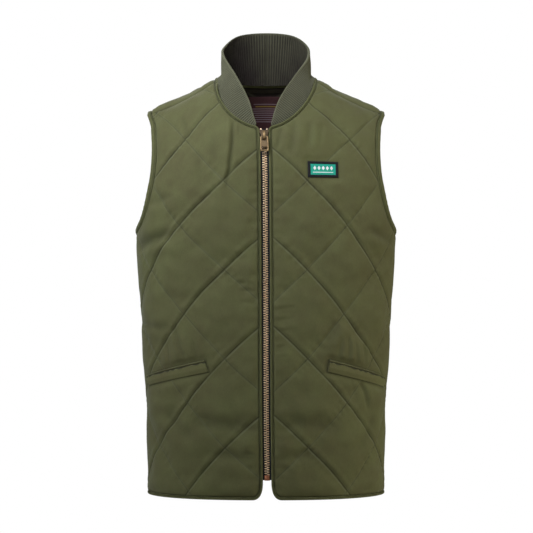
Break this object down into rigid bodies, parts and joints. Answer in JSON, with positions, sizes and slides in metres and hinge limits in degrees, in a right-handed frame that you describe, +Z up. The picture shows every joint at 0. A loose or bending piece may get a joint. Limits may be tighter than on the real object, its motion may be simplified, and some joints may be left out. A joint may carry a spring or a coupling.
{
  "type": "gilet",
  "caption": "Sleeveless quilted jacket filled out as worn, with a rib-knit stand collar, bound edges, slanted welt pockets and a metal front zip.",
  "frame": {"origin": "middle of the neck base, level with the points where the collar meets the shoulders, where a wearer's shoulders carry the garment", "axes": "+Z up along the body, the front faces -Y, +X towards the wearer's left"},
  "size_m": [0.4298, 0.2709, 0.7634],
  "materials": {
    "quilted_cloth": "matt brushed cloth, quilted in diamonds",
    "band_cloth": "matt brushed cloth, stitched",
    "rib_knit": "rib knit",
    "zip_tape": "woven tape",
    "patch": null,
    "label": "satin-woven label, bare",
    "zip_metal": "satin copper-brass"
  },
  "bodies": {
    "garment": {"armhole_band_left": "band_cloth", "armhole_band_right": "band_cloth", "back": "quilted_cloth", "chest_patch": "patch", "collar": "rib_knit", "front_band_left": "band_cloth", "front_band_right": "band_cloth", "front_left": "quilted_cloth", "front_right": "quilted_cloth", "hem_band_back": "band_cloth", "neck_band_back": "band_cloth", "neck_label": "label", "neck_tape": "rib_knit", "pocket_welt_left": "band_cloth", "pocket_welt_right": "band_cloth", "zip_bottom_stop": "zip_metal", "zip_chain": "zip_metal", "zip_slider": "zip_metal", "zip_tape_left": "zip_tape", "zip_tape_right": "zip_tape", "zip_top_stop_left": "zip_metal", "zip_top_stop_right": "zip_metal"},
    "pull_tab": {"zip_pull": "zip_metal"}
  },
  "joints": [
    {"name": "pull_tab_hinge", "type": "hinge", "parent": "garment", "child": "pull_tab", "pos_m": [0, -0.13009, -0.10141], "axis": [-1, 0, 0], "range_deg": [0, 130]}
  ]
}
